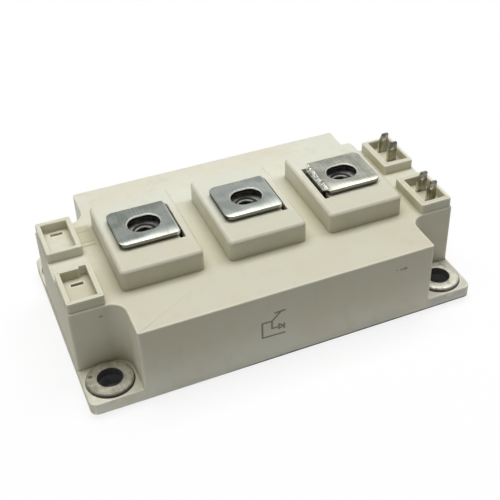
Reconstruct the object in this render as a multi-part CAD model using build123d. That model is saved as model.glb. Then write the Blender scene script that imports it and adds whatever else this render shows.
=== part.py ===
from build123d import *
import os

# Half-bridge power transistor module with three screw terminals and four flat control tabs.
# Lengths are millimetres. X runs along the module, with the control tabs at +X, Y runs from the
# front side to the rear side, and Z is up. The origin is the centre of the underside.

# Housing: outline and levels
housing_length = 106.4
housing_width = 61.4
flange_corner = 2.0
skirt_bottom = 1.0
flange_top = 4.3
platform_top = 22.7
wing_end_ledge = 0.2
wall = 1.7
roof = 2.2
recess_round = 4.0
upright_round = 0.6

# Base plate, which sits inside the skirt of the housing
base_thickness = 3.0
skirt_side_wall = 0.8
skirt_end_wall = 1.6
base_fit = 0.1
base_corner = 5.0

# Screw places in the four corners, each with a metal bushing
screw_edge = 6.7
screw_hole = 6.4
bushing_diameter = 11.9
bushing_stand = 1.0
bushing_fit = 0.1
bushing_edge_break = 0.35
recess_gap_side = 0.15
recess_gap_end = 0.75

# Raised blocks under the main terminals
block_end_ledge = 1.15
block_length = 21.3
block_width = 30.1
block_height = 6.0
block_upright_round = 1.2
block_edge_break = 0.6
block_core_wall = 1.3

# Main terminals: a flat strip with an oval hole, folded down into the block
terminal_thickness = 1.0
terminal_width = 14.5
terminal_gap = 0.7
free_end = 8.2
fold_end = 8.3
free_corner = 1.9
fold_cut_length = 1.4
leg_width = 10.0
oval_length = 8.5
oval_width = 6.5
oval_bevel = 0.3
bend_round = 0.6
leg_slot_fit = 0.2
leg_slot_extra = 0.4
foot_length = 4.4
foot_split = 5.2
foot_split_height = 5.0

# Captive nuts under the main terminals
nut_width = 10.0
nut_height = 5.0
nut_bore = 5.0
nut_mouth = 6.4
nut_drop = 0.9
nut_well_fit = 0.15
nut_corner_drop = 0.4
nut_corner_run = 0.75
screw_clearance = 6.6
screw_room = 7.0
boss_wall = 1.6
boss_floor = 1.2

# Pockets at the ends of the wings
pocket_height = 2.8
pocket_end_gap = 0.3
pocket_side_gap = 0.45
pocket_length = 9.1
pocket_corner = 0.45
left_end_wall = 1.15
left_inner_wall = 1.25
left_side_wall = 1.2
right_end_wall = 0.85
right_inner_wall = 1.75
right_side_wall = 1.6
right_rear_wall = 0.8
rear_pocket_near = 3.35
left_front_pocket_near = 3.9
right_front_pocket_near = 2.9
notch_length = 1.8
notch_depth = 0.8

# Control tabs, which go through slots in the pocket floors
tab_width = 2.9
tab_thickness = 0.8
tab_end_distance = 3.9
tab_rise = 5.8
tab_tip_cut = 1.2
tab_tip_slope = 2.4
tab_hole = 1.2
tab_hole_drop = 1.8
tab_slot_fit = 0.1
rear_gate_inset = 3.1
rear_emitter_reach = 6.25
front_gate_inset = 5.5
front_emitter_reach = 4.5
spare_slot_shift = 1.25
shoulder_width = 1.0
shoulder_height = 3.0
shoulder_gap = 0.3
lead_height = 2.0
lead_level = 9.0
lead_foot = 2.4

# Substrates, two alike, the front one turned half a turn
solder_thickness = 0.2
copper_thickness = 0.3
ceramic_thickness = 0.38
substrate_end_gap = 2.1
substrate_side_gap = 2.5
substrate_gap = 3.0
copper_inset = 0.5
track_gap = 1.0
pad_length = 4.2
emitter_width = 5.4
sense_start = 4.5
sense_width = 4.8
gate_start = 10.1
gate_strip = 2.6
collector_tab_margin = 1.2
collector_tab_length = 8.5

# Chips and bond ribbons
chip_height = 0.2
chip_groups = 3
transistor_size = 9.5
diode_size = 7.0
ribbon_width = 1.5
ribbon_thickness = 0.2
ribbon_rise = 1.3
ribbon_foot = 1.2
ribbon_slope = 0.9
ribbon_pitch = 2.6

# Silicone gel
gel_depth = 7.5
gel_room = 0.3

# Values that follow from the sizes above
half_length = housing_length / 2
half_width = housing_width / 2
screw_x = half_length - screw_edge
screw_y = half_width - screw_edge
recess_end = screw_edge + bushing_diameter / 2 + recess_gap_end
recess_side = screw_edge + bushing_diameter / 2 + recess_gap_side
body_length = housing_length - 2 * recess_end
wing_width = housing_width - 2 * recess_side
wing_length = housing_length - 2 * wing_end_ledge
roof_underside = platform_top - roof
block_top = platform_top + block_height
plate_underside = block_top + terminal_gap
plate_top = plate_underside + terminal_thickness
nut_top = block_top - nut_drop
nut_seat = nut_top - nut_height
pocket_rim = platform_top + pocket_height
base_length = housing_length - 2 * (skirt_end_wall + base_fit)
base_width = housing_width - 2 * (skirt_side_wall + base_fit)
block_pitch = body_length / 2 - block_end_ledge - block_length / 2
substrate_length = body_length - 2 * (wall + substrate_end_gap)
substrate_width = half_width - wall - substrate_side_gap - substrate_gap / 2
pad_start = substrate_length / 2 - copper_inset - pad_length
field_end = pad_start - track_gap
chip_group_pitch = 2 * field_end / chip_groups
chip_gap = (chip_group_pitch - transistor_size - diode_size) / 2
transistor_shift = (transistor_size + chip_gap - chip_group_pitch) / 2
diode_shift = transistor_shift + (transistor_size + diode_size) / 2 + chip_gap
collector_tab_start = block_pitch - fold_end - collector_tab_margin
collector_tab_end = collector_tab_start + collector_tab_length
substrate_bottom = base_thickness + solder_thickness
ceramic_bottom = substrate_bottom + copper_thickness
track_bottom = ceramic_bottom + ceramic_thickness
track_top = track_bottom + copper_thickness
chip_top = track_top + chip_height
tab_x = half_length - tab_end_distance
terminal_places = {"terminal_1": (-block_pitch, 1), "terminal_2": (0.0, 1), "terminal_3": (block_pitch, -1)}
corner_places = {
    "front_left": (-screw_x, -screw_y),
    "front_right": (screw_x, -screw_y),
    "rear_left": (-screw_x, screw_y),
    "rear_right": (screw_x, screw_y),
}
tab_rows = {
    "gate_tab_upper": wing_width / 2 - rear_gate_inset,
    "emitter_tab_upper": rear_pocket_near + rear_emitter_reach,
    "emitter_tab_lower": -right_front_pocket_near - front_emitter_reach,
    "gate_tab_lower": front_gate_inset - wing_width / 2,
}
spare_slot_x = -tab_x + spare_slot_shift
spare_slot_rows = (tab_rows["gate_tab_upper"], tab_rows["emitter_tab_lower"])


def slab(face, bottom, top):
    """Extrude a plan shape between two heights."""
    return extrude(Pos(0, 0, bottom) * face, amount=top - bottom)


def plan_box(x_low, x_high, y_low, y_high):
    """Rectangle in plan between two corners."""
    middle = Pos((x_low + x_high) / 2, (y_low + y_high) / 2)
    return middle * Rectangle(x_high - x_low, y_high - y_low)


def side_plate(points, y_centre, thickness):
    """Flat plate with an outline in X and Z, standing on the line y_centre."""
    outline = Plane.XZ * Polygon(*points, align=None)
    return Pos(0, y_centre, 0) * extrude(outline, amount=thickness / 2, both=True)


def top_edges(solid, level):
    """Edges of a solid that lie at one height."""
    return solid.edges().filter_by_position(Axis.Z, level, level)


def body_outline():
    """Plan of the body and its two wings, with rounded inner corners at the screw recesses."""
    cross = Rectangle(body_length, housing_width) + Rectangle(wing_length, wing_width)
    inner = [
        v for v in cross.vertices()
        if abs(abs(v.X) - body_length / 2) < 0.01 and abs(abs(v.Y) - wing_width / 2) < 0.01
    ]
    cross = fillet(inner, recess_round)
    outer = [
        v for v in cross.vertices()
        if abs(abs(v.X) - wing_length / 2) < 0.01 or abs(abs(v.Y) - half_width) < 0.01
    ]
    return fillet(outer, upright_round)


def block_plan(x_centre):
    """Plan of one raised block, with rounded upright edges."""
    return Pos(x_centre, 0) * RectangleRounded(block_length, block_width, block_upright_round)


def pocket_spans():
    """Outer plan span of each pocket: lowest and highest X and Y, and its end, inner, front and rear wall."""
    outer = wing_length / 2 - pocket_end_gap
    inner = outer - pocket_length
    far = wing_width / 2 - pocket_side_gap
    left_walls = (left_end_wall, left_inner_wall, left_side_wall, left_side_wall)
    right_walls = (right_end_wall, right_inner_wall, right_side_wall, right_side_wall)
    thin_rear_walls = right_walls[:3] + (right_rear_wall,)
    return {
        "left_rear": (-outer, -inner, rear_pocket_near, far, left_walls),
        "left_front": (-outer, -inner, -far, -left_front_pocket_near, left_walls),
        "right_rear": (inner, outer, rear_pocket_near, far, thin_rear_walls),
        "right_front": (inner, outer, -far, -right_front_pocket_near, right_walls),
    }


def pocket_inside(x_low, x_high, y_low, y_high, walls):
    """Plan span of the hollow of a pocket."""
    end_wall, inner_wall, front_wall, rear_wall = walls
    wall_low, wall_high = (end_wall, inner_wall) if x_low < 0 else (inner_wall, end_wall)
    return x_low + wall_low, x_high - wall_high, y_low + front_wall, y_high - rear_wall


def pocket_wall(x_low, x_high, y_low, y_high, walls):
    """Rim of one pocket, a low wall around its floor."""
    outside = fillet(plan_box(x_low, x_high, y_low, y_high).vertices(), pocket_corner)
    inside = plan_box(*pocket_inside(x_low, x_high, y_low, y_high, walls))
    return slab(outside - inside, platform_top, pocket_rim)


def spare_notch():
    """Notch in the rear wall of the left front pocket."""
    x_low, x_high, y_low, y_high, walls = pocket_spans()["left_front"]
    _, inside_x, _, inside_y = pocket_inside(x_low, x_high, y_low, y_high, walls)
    plan = plan_box(inside_x - notch_length, inside_x, inside_y, inside_y + notch_depth)
    return slab(plan, platform_top, pocket_rim)


def leg_slot(x_centre, direction):
    """Slot in a block and the roof for the leg of one main terminal."""
    outer_face = x_centre + direction * fold_end
    inner_face = outer_face - direction * terminal_thickness
    x_low, x_high = sorted((outer_face, inner_face))
    half = terminal_width / 2 + leg_slot_extra
    return slab(plan_box(x_low - leg_slot_fit, x_high + leg_slot_fit, -half, half), roof_underside, block_top)


def nut_well(x_centre):
    """Hexagonal well for a nut, with a blind bore below it for the end of the screw."""
    hexagon = RegularPolygon(nut_width / 2 + nut_well_fit, 6, major_radius=False)
    well = slab(hexagon, nut_seat, block_top)
    bore = slab(Circle(screw_clearance / 2), nut_seat - screw_room, nut_seat)
    return Pos(x_centre, 0, 0) * (well + bore)


def nut_boss(x_centre):
    """Closed hexagonal tube under the roof, with room for the end of a terminal screw."""
    bottom = nut_seat - screw_room - boss_floor
    hexagon = RegularPolygon(screw_clearance / 2 + boss_wall, 6, major_radius=False)
    return Pos(x_centre, 0, 0) * slab(hexagon, bottom, roof_underside)


def block_cores(x_centre):
    """Two hollows under a block that keep its walls even."""
    half_core = block_length / 2 - wall
    near = terminal_width / 2 + leg_slot_extra + block_core_wall
    far = block_width / 2 - wall
    pair = [plan_box(-half_core, half_core, near, far), plan_box(-half_core, half_core, -far, -near)]
    return [Pos(x_centre, 0, 0) * slab(core, roof_underside, block_top - roof) for core in pair]


def tab_slot(x_centre, y_centre):
    """Slot in a pocket floor for one control tab."""
    opening = Rectangle(tab_width + 2 * tab_slot_fit, tab_thickness + 2 * tab_slot_fit)
    return slab(Pos(x_centre, y_centre) * opening, roof_underside, platform_top)


def terminal_block(x_centre, direction):
    """Raised block of the moulding, with a nut well, a closed tube below it and a slot for the leg."""
    block = slab(block_plan(x_centre), roof_underside, block_top)
    block = chamfer(top_edges(block, block_top), block_edge_break)
    block += nut_boss(x_centre)
    block -= nut_well(x_centre)
    block -= leg_slot(x_centre, direction)
    for core in block_cores(x_centre):
        block -= core
    return block


def shell_without_blocks():
    """Body, wings and flange of the moulding, open underneath and at the places of the raised blocks."""
    outline = body_outline()
    flange = slab(RectangleRounded(housing_length, housing_width, flange_corner), skirt_bottom, flange_top)
    shell = slab(outline, skirt_bottom, platform_top) + flange
    shell -= slab(offset(outline, amount=-wall), skirt_bottom, roof_underside)
    rebate = RectangleRounded(base_length + 2 * base_fit, base_width + 2 * base_fit, base_corner + base_fit)
    shell -= slab(rebate, skirt_bottom, base_thickness)
    for x_centre, _ in terminal_places.values():
        shell -= slab(block_plan(x_centre), roof_underside, platform_top)
    for span in pocket_spans().values():
        shell += pocket_wall(*span)
    shell -= spare_notch()
    for y_centre in tab_rows.values():
        shell -= tab_slot(tab_x, y_centre)
    for y_centre in spare_slot_rows:
        shell -= tab_slot(spare_slot_x, y_centre)
    for x_centre, y_centre in corner_places.values():
        bore = Circle(bushing_diameter / 2 + bushing_fit)
        shell -= slab(Pos(x_centre, y_centre) * bore, base_thickness, flange_top)
    return shell


def wing_space(side):
    """Space above the flange beyond one end of the body."""
    x_low, x_high = sorted((side * body_length / 2, side * half_length))
    return slab(plan_box(x_low, x_high, -half_width, half_width), flange_top, pocket_rim)


def moulding():
    """The one moulding of the real module, kept as a housing, two wings and three raised blocks."""
    shell = shell_without_blocks()
    left, right = wing_space(-1), wing_space(1)
    nodes = {"housing": shell - left - right, "wing_left": shell & left, "wing_right": shell & right}
    for name, (x_centre, direction) in terminal_places.items():
        nodes["block_" + name] = terminal_block(x_centre, direction)
    return nodes


def base_plate():
    """Flat metal plate with four screw holes."""
    plan = RectangleRounded(base_length, base_width, base_corner)
    for x_centre, y_centre in corner_places.values():
        plan -= Pos(x_centre, y_centre) * Circle(screw_hole / 2)
    return slab(plan, 0, base_thickness)


def bushing(x_centre, y_centre):
    """Ring that stands on the base plate and takes the load of a mounting screw."""
    ring_top = flange_top + bushing_stand
    disc = slab(Circle(bushing_diameter / 2), base_thickness, ring_top)
    disc = chamfer(top_edges(disc, ring_top), bushing_edge_break)
    return Pos(x_centre, y_centre, 0) * (disc - slab(Circle(screw_hole / 2), base_thickness, ring_top))


def folded_strip(points, width, thickness, bend=None):
    """Strip of sheet metal that follows points in X and Z, with the bends as arcs."""
    stations = [(x, 0, z) for x, z in points]
    path = FilletPolyline(*stations, radius=bend) if bend else Polyline(*stations)
    start = Plane(origin=path @ 0, x_dir=(0, 1, 0), z_dir=path % 0)
    corners = Transition.TRANSFORMED if bend else Transition.RIGHT
    return sweep(start * Rectangle(width, thickness), path=path, transition=corners)


def main_terminal(x_centre, direction, feet):
    """Folded terminal: plate with an oval hole, bend, leg and soldered feet."""
    middle = terminal_thickness / 2
    leg_x = fold_end - middle
    route = [
        (-free_end, plate_top - middle),
        (leg_x, plate_top - middle),
        (leg_x, track_top + middle),
        (leg_x - foot_length, track_top + middle),
    ]
    strip = folded_strip(route, terminal_width, terminal_thickness, bend_round + middle)
    half = terminal_width / 2
    half_leg = leg_width / 2
    cut_start = fold_end - fold_cut_length
    plan = Polygon(
        (-free_end, -half), (cut_start, -half), (fold_end, -half_leg),
        (fold_end, half_leg), (cut_start, half), (-free_end, half), align=None,
    )
    plan = fillet(plan.vertices().group_by(Axis.X)[0], free_corner)
    strip = strip & slab(plan, 0, plate_top)
    for side in (-1, 1):
        y_low, y_high = sorted((side * half_leg, side * half))
        strip -= slab(plan_box(0, fold_end, y_low, y_high), 0, plate_underside)
    strip -= slab(SlotOverall(oval_length, oval_width), plate_underside, plate_top)
    rim = [e for e in top_edges(strip, plate_top)
           if abs(e.center().Y) < half - free_corner and abs(e.center().X) < oval_length / 2 + oval_bevel]
    strip = chamfer(rim, oval_bevel)
    y_low, y_high = feet
    for low, high in ((-half_leg, y_low), (y_high, half_leg)):
        if high > low:
            strip -= slab(plan_box(0, fold_end, low, high), 0, track_top + foot_split_height)
    if y_low < 0 < y_high:
        gap = plan_box(0, fold_end, -foot_split / 2, foot_split / 2)
        strip -= slab(gap, 0, track_top + foot_split_height)
    if direction < 0:
        strip = mirror(strip, about=Plane.YZ)
    return Pos(x_centre, 0, 0) * strip


def captive_nut(x_centre):
    """Hexagon nut with turned top corners and a threaded bore shown at its core diameter."""
    hexagon = slab(RegularPolygon(nut_width / 2, 6, major_radius=False), nut_seat, nut_top)
    corner_radius = hexagon.bounding_box().size.X / 2
    barrel = slab(Circle(corner_radius), nut_seat, nut_top)
    nut = hexagon & chamfer(top_edges(barrel, nut_top), nut_corner_drop, nut_corner_run)
    nut -= slab(Circle(nut_bore / 2), nut_seat, nut_top)
    rims = top_edges(nut, nut_top).filter_by(GeomType.CIRCLE)
    mouth = [edge for edge in rims if edge.radius < nut_mouth / 2]
    return Pos(x_centre, 0, 0) * chamfer(mouth, (nut_mouth - nut_bore) / 2)


def control_tab(y_centre):
    """Stamped flat tab: blade with one cut corner and a hole, shoulder, lead and soldered foot."""
    blade_low = tab_x - tab_width / 2
    blade_high = tab_x + tab_width / 2
    tip = platform_top + tab_rise
    shoulder_top = roof_underside - shoulder_gap
    shoulder_low = shoulder_top - shoulder_height
    foot_middle = pad_start + pad_length / 2
    outline = [
        (blade_low + tab_tip_cut, tip),
        (blade_high, tip),
        (blade_high, lead_level),
        (foot_middle + lead_foot / 2, lead_level),
        (foot_middle + lead_foot / 2, track_top),
        (foot_middle - lead_foot / 2, track_top),
        (foot_middle - lead_foot / 2, lead_level + lead_height),
        (blade_low, lead_level + lead_height),
        (blade_low, shoulder_low),
        (blade_low - shoulder_width, shoulder_low),
        (blade_low - shoulder_width, shoulder_top),
        (blade_low, shoulder_top),
        (blade_low, tip - tab_tip_slope),
    ]
    tab = side_plate(outline, y_centre, tab_thickness)
    drill = Rot(90, 0, 0) * Cylinder(tab_hole / 2, 2 * tab_thickness)
    return tab - Pos(tab_x, y_centre, tip - tab_hole_drop) * drill


def substrate_plan(inset):
    """Plan of the rear substrate, smaller all round by the inset."""
    near = substrate_gap / 2
    half = substrate_length / 2
    return plan_box(-half + inset, half - inset, near + inset, near + substrate_width - inset)


def track_pattern():
    """Upper copper of the rear substrate: emitter strip, collector field, sense pads and gate track."""
    near = substrate_gap / 2
    outer = substrate_length / 2 - copper_inset
    far = near + substrate_width - copper_inset
    gate_low = far - gate_strip
    strip_low = near + copper_inset
    field_low = strip_low + emitter_width + track_gap
    emitter = plan_box(-field_end, collector_tab_start - track_gap, strip_low, field_low - track_gap)
    collector = plan_box(-field_end, field_end, field_low, gate_low - track_gap)
    collector += plan_box(collector_tab_start, collector_tab_end, strip_low, field_low)
    gate = plan_box(-outer, outer, gate_low, far)
    pieces = [emitter, collector]
    for side in (-1, 1):
        x_low, x_high = sorted((side * pad_start, side * outer))
        gate += plan_box(x_low, x_high, near + gate_start, gate_low)
        pieces.append(plan_box(x_low, x_high, near + sense_start, near + sense_start + sense_width))
    pieces.append(gate)
    return [slab(piece, track_bottom, track_top) for piece in pieces]


def chip_row():
    """Distance of the middle of the chips from the module's long axis."""
    near = substrate_gap / 2 + copper_inset + emitter_width + track_gap
    far = substrate_gap / 2 + substrate_width - copper_inset - gate_strip - track_gap
    return (near + far) / 2


def chip_places(shift):
    """Place along X of each chip of one kind, one in each group."""
    middle = (chip_groups - 1) / 2
    return [(group - middle) * chip_group_pitch + shift for group in range(chip_groups)]


def chips(size, shift):
    """Row of equal chips on the collector field of the rear substrate."""
    chip = slab(Rectangle(size, size), track_top, chip_top)
    return [Pos(x, chip_row(), 0) * chip for x in chip_places(shift)]


def chip_room():
    """Space over the rear substrate that holds its chips and ribbons."""
    low_x = min(chip_places(transistor_shift)) - transistor_size / 2 - gel_room
    high_x = max(chip_places(diode_shift)) + diode_size / 2 + gel_room
    low_y = ribbon_landing() - ribbon_foot / 2 - gel_room
    high_y = chip_row() + transistor_size / 2 + gel_room
    top = chip_top + ribbon_rise + ribbon_thickness + gel_room
    return slab(plan_box(low_x, high_x, low_y, high_y), track_top, top)


def ribbon_landing():
    """Distance from the long axis of the middle of the ribbon feet on the emitter strip."""
    return substrate_gap / 2 + copper_inset + emitter_width - ribbon_foot


def ribbon(length, drop):
    """Bond ribbon along +X that starts on a chip and ends lower by the drop."""
    middle = ribbon_thickness / 2
    crown = middle + ribbon_rise
    route = [
        (0, middle),
        (ribbon_foot, middle),
        (ribbon_foot + ribbon_slope, crown),
        (length - ribbon_foot - ribbon_slope, crown),
        (length - ribbon_foot, middle - drop),
        (length, middle - drop),
    ]
    return Pos(0, 0, chip_top) * folded_strip(route, ribbon_width, ribbon_thickness)


def bond_ribbons():
    """Two ribbons from each transistor to the emitter strip, and one to the diode beside it."""
    across = Rot(0, 0, -90) * ribbon(chip_row() - ribbon_landing() + ribbon_foot / 2, chip_height)
    along = ribbon(diode_shift - transistor_shift, 0)
    along_start = transistor_size / 2 - 2 * ribbon_foot
    along_row = chip_row() + ribbon_pitch
    ribbons = []
    for transistor_x in chip_places(transistor_shift):
        ribbons += [Pos(transistor_x + side * ribbon_pitch / 2, chip_row(), 0) * across for side in (-1, 1)]
        ribbons.append(Pos(transistor_x + along_start, along_row, 0) * along)
    return ribbons


def silicone_gel(conductors):
    """Gel that fills the housing over the base plate, around the substrates and conductors."""
    gel = slab(offset(body_outline(), amount=-wall), base_thickness, base_thickness + gel_depth)
    for turn in (0, 180):
        stack = slab(substrate_plan(0), base_thickness, track_top)
        gel -= Rot(0, 0, turn) * (stack + chip_room())
    for conductor in conductors:
        gel -= conductor
    return gel


def turned_set(solids, turn):
    """Several solids of one node, turned about the module's upright axis."""
    return Compound([Rot(0, 0, turn) * solid for solid in solids])


def build_nodes():
    """All pieces of the module, each under its own name."""
    nodes = {**moulding(), "base_plate": base_plate()}
    for name, place in corner_places.items():
        nodes["bushing_" + name] = bushing(*place)
    half_leg = leg_width / 2
    feet = {
        "terminal_1": (-half_leg, half_leg),
        "terminal_2": (-half_leg, -foot_split / 2),
        "terminal_3": (foot_split / 2, half_leg),
    }
    for name, (x_centre, direction) in terminal_places.items():
        nodes["main_" + name] = main_terminal(x_centre, direction, feet[name])
        nodes["nut_" + name] = captive_nut(x_centre)
    for name, y_centre in tab_rows.items():
        nodes[name] = control_tab(y_centre)
    conductors = [solid for name, solid in nodes.items() if name in tab_rows or name.startswith("main_")]
    for side, turn in (("upper", 0), ("lower", 180)):
        layers = {
            "solder": [slab(substrate_plan(copper_inset), base_thickness, substrate_bottom)],
            "back_copper": [slab(substrate_plan(copper_inset), substrate_bottom, ceramic_bottom)],
            "ceramic": [slab(substrate_plan(0), ceramic_bottom, track_bottom)],
            "track_copper": track_pattern(),
            "transistor_chips": chips(transistor_size, transistor_shift),
            "diode_chips": chips(diode_size, diode_shift),
            "bond_ribbons": bond_ribbons(),
        }
        for layer, solids in layers.items():
            nodes[layer + "_" + side] = turned_set(solids, turn)
    nodes["silicone_gel"] = silicone_gel(conductors)
    return nodes


os.makedirs("parts", exist_ok=True)
for node_name, shape in build_nodes().items():
    export_step(shape, "parts/" + node_name + ".step")
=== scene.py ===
"""Half-bridge power module, dressed for a plain studio picture.

Every length in this file is in metres unless its name ends in _mm, _px or _deg.
A pair of lengths that ease() takes says where a pattern starts and where it is full.
"""

import logging
import math
from collections.abc import Iterable
from dataclasses import dataclass
from enum import Enum
from functools import reduce

import bmesh
import bpy
from mathutils import Matrix, Vector


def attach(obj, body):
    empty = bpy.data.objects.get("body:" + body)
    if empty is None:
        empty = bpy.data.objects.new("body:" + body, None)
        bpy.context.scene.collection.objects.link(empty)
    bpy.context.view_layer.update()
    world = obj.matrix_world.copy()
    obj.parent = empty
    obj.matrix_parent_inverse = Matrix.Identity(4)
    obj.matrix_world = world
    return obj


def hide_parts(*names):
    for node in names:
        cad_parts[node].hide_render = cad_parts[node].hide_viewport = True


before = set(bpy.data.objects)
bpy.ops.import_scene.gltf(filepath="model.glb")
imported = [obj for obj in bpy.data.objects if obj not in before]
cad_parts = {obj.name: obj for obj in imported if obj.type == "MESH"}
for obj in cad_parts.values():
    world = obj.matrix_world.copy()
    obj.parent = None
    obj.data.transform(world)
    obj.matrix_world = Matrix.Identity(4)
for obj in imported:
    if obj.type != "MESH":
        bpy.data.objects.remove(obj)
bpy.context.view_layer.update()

MM = 0.001
LOG = logging.getLogger("module")
Pair = tuple[float, float]
Point = tuple[float, float, float]
Colour = tuple[float, float, float, float]
WHITE: Colour = (1.0, 1.0, 1.0, 1.0)
SAMPLES = 6


def tone(red: float, green: float, blue: float) -> Colour:
    """Turn a display colour into the linear colour that a shader takes.

    Args:
        red: Red from 0 to 255.
        green: Green from 0 to 255.
        blue: Blue from 0 to 255.

    Returns:
        The linear colour with full opacity.
    """
    def straight(level: float) -> float:
        """Return one level without the display curve."""
        share = level / 255
        return share / 12.92 if share <= 0.04045 else ((share + 0.055) / 1.055) ** 2.4

    return straight(red), straight(green), straight(blue), 1.0


class Side(Enum):
    """Side of its block on which a main terminal is folded down."""

    RIGHT = 1
    LEFT = -1


class Joining(Enum):
    """How one solid changes another."""

    ADD = "UNION"
    TAKE_AWAY = "DIFFERENCE"


class Level:
    """A number that varies over a surface, held as a shader socket."""

    def __init__(self, sheet: "Nodes", socket: bpy.types.NodeSocket) -> None:
        """Keep the tree of nodes and the socket that gives the number."""
        self.sheet = sheet
        self.socket = socket

    def _with(self, operation: str, first: object, second: object) -> "Level":
        """Add one Math node.

        Args:
            operation: Name of the Math node's operation.
            first: A number or a level.
            second: A number or a level.

        Returns:
            The result as a level.
        """
        node = self.sheet.node("ShaderNodeMath", {"operation": operation}, {0: first, 1: second})
        return Level(self.sheet, node.outputs[0])

    def __add__(self, other: object) -> "Level":
        """Return this level plus another."""
        return self._with("ADD", self, other)

    def __radd__(self, other: object) -> "Level":
        """Return a number plus this level."""
        return self._with("ADD", other, self)

    def __sub__(self, other: object) -> "Level":
        """Return this level less another."""
        return self._with("SUBTRACT", self, other)

    def __rsub__(self, other: object) -> "Level":
        """Return a number less this level."""
        return self._with("SUBTRACT", other, self)

    def __mul__(self, other: object) -> "Level":
        """Return this level times another."""
        return self._with("MULTIPLY", self, other)

    def __rmul__(self, other: object) -> "Level":
        """Return a number times this level."""
        return self._with("MULTIPLY", other, self)

    def __truediv__(self, other: object) -> "Level":
        """Return this level divided by another."""
        return self._with("DIVIDE", self, other)

    def __pow__(self, other: object) -> "Level":
        """Return this level raised to a power."""
        return self._with("POWER", self, other)

    def __abs__(self) -> "Level":
        """Return this level without its sign."""
        return self._with("ABSOLUTE", self, 0.0)

    def least(self, other: object) -> "Level":
        """Return the smaller of this level and another."""
        return self._with("MINIMUM", self, other)

    def most(self, other: object) -> "Level":
        """Return the larger of this level and another."""
        return self._with("MAXIMUM", self, other)

    def ease(self, start: float, end: float) -> "Level":
        """Rise smoothly from 0 to 1 between two values.

        Args:
            start: Value that gives 0.
            end: Value that gives 1. It may be the smaller of the two.

        Returns:
            The eased level.
        """
        low, high = min(start, end), max(start, end)
        ends = (0.0, 1.0) if start < end else (1.0, 0.0)
        settings = {"interpolation_type": "SMOOTHSTEP"}
        values = {"Value": self, "From Min": low, "From Max": high, "To Min": ends[0], "To Max": ends[1]}
        return Level(self.sheet, self.sheet.node("ShaderNodeMapRange", settings, values).outputs[0])

    def near(self, middle: float, half: float, soft: float) -> "Level":
        """Mark a band around one value.

        Args:
            middle: Value in the middle of the band.
            half: Half the width of the band.
            soft: Width over which the band fades on either side.

        Returns:
            A level that is 1 in the band and 0 away from it.
        """
        return abs(self - middle).ease(half + soft, half)


def least_of(levels: Iterable[Level]) -> Level:
    """Return the smallest of some levels."""
    return reduce(Level.least, levels)


def most_of(levels: Iterable[Level]) -> Level:
    """Return the largest of some levels."""
    return reduce(Level.most, levels)


def distance(*offsets: Level) -> Level:
    """Return how far away a place is, from the offsets to it along the axes."""
    return reduce(Level.__add__, (offset * offset for offset in offsets)) ** 0.5


class Nodes:
    """A tree of shader nodes."""

    def __init__(self, tree: bpy.types.NodeTree) -> None:
        """Take over a tree and empty it."""
        self.tree = tree
        self.tree.nodes.clear()

    def node(self, kind: str, settings: dict | None = None, inputs: dict | None = None) -> bpy.types.Node:
        """Add one node.

        Args:
            kind: Type of the node.
            settings: Properties of the node, set first.
            inputs: Values, sockets or levels for its inputs, by name or place.

        Returns:
            The new node.
        """
        made = self.tree.nodes.new(kind)
        for name, value in (settings or {}).items():
            setattr(made, name, value)
        for key, value in (inputs or {}).items():
            self.feed(made.inputs[key], value)
        return made

    def feed(self, socket: bpy.types.NodeSocket, value: object) -> None:
        """Give an input its value, or a link where the value comes from a socket or level.

        Args:
            socket: The input.
            value: A value, socket or level.
        """
        if isinstance(value, Level):
            value = value.socket
        if isinstance(value, bpy.types.NodeSocket):
            self.tree.links.new(value, socket)
        else:
            socket.default_value = value


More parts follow.
